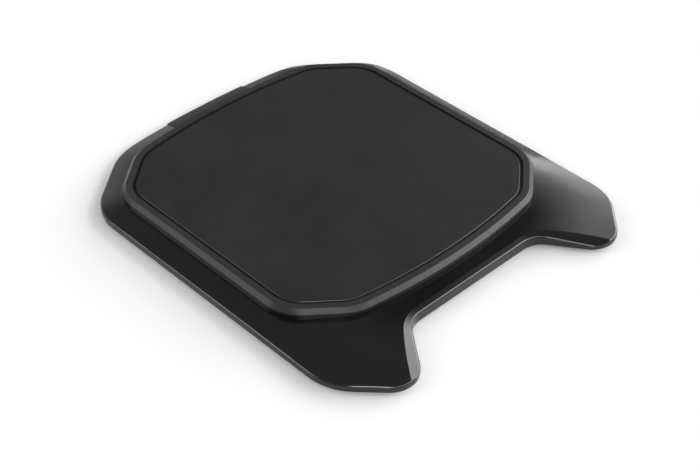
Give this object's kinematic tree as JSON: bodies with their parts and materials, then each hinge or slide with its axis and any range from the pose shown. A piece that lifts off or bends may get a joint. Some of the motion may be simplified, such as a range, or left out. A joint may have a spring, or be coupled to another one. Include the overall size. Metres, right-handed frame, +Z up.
{
  "type": "wireless charging pad",
  "caption": "Low wireless charging pad: gloss base with prongs and a finger notch at the front, framed square charging face with soft mat, rubber feet and rear power inlet.",
  "frame": {"origin": "middle of the footprint's bounding box, on the surface the feet stand on", "axes": "+Z up from the table to the charging face, -Y towards the two prongs, +Y towards the power inlet, X across; the object is mirror-symmetric about X=0 outside"},
  "size_m": [0.1174, 0.1352, 0.0083],
  "materials": {
    "gloss_shell": "piano-black gloss moulding",
    "matte_frame": "fine-textured dark grey moulding",
    "adhesive": "thin double-sided film",
    "soft_mat": "soft-touch mottled sheet",
    "plated_steel": "bright plated sheet",
    "board_plastic": "black insulating plastic",
    "matte_cover": "fine-textured black moulding",
    "screw_steel": "black zinc-plated screws",
    "foot_rubber": "dark rubber",
    "copper": "enamelled copper wire",
    "ferrite": "dark sintered sheet",
    "aluminium_sheet": "mill finish",
    "gap_pad": "soft grey pad",
    "board_laminate": "solder-masked laminate",
    "chip_plastic": "moulded packages",
    "capacitor_ceramic": "ceramic bodies"
  },
  "bodies": {
    "root": {"top_shell": "gloss_shell", "pad_frame": "matte_frame", "mat_bond": "adhesive", "charging_mat": "soft_mat", "inlet_housing": "matte_frame", "inlet_shell": "plated_steel", "inlet_tongue": "board_plastic", "bottom_cover": "matte_cover", "cover_screws": "screw_steel", "side_feet": "foot_rubber", "rear_feet": "foot_rubber", "prong_feet": "foot_rubber", "coil_winding": "copper", "coil_leads": "copper", "coil_bond": "adhesive", "ferrite_sheet": "ferrite", "shield_plate": "aluminium_sheet", "thermal_pad": "gap_pad", "coil_thermistor": "board_plastic", "circuit_board": "board_laminate", "board_screws": "screw_steel", "bridge_switches": "chip_plastic", "bulk_capacitors": "capacitor_ceramic", "controller_chip": "chip_plastic", "clock_crystal": "plated_steel", "input_choke": "chip_plastic", "small_passives": "capacitor_ceramic", "tank_capacitors": "capacitor_ceramic"}
  },
  "joints": []
}
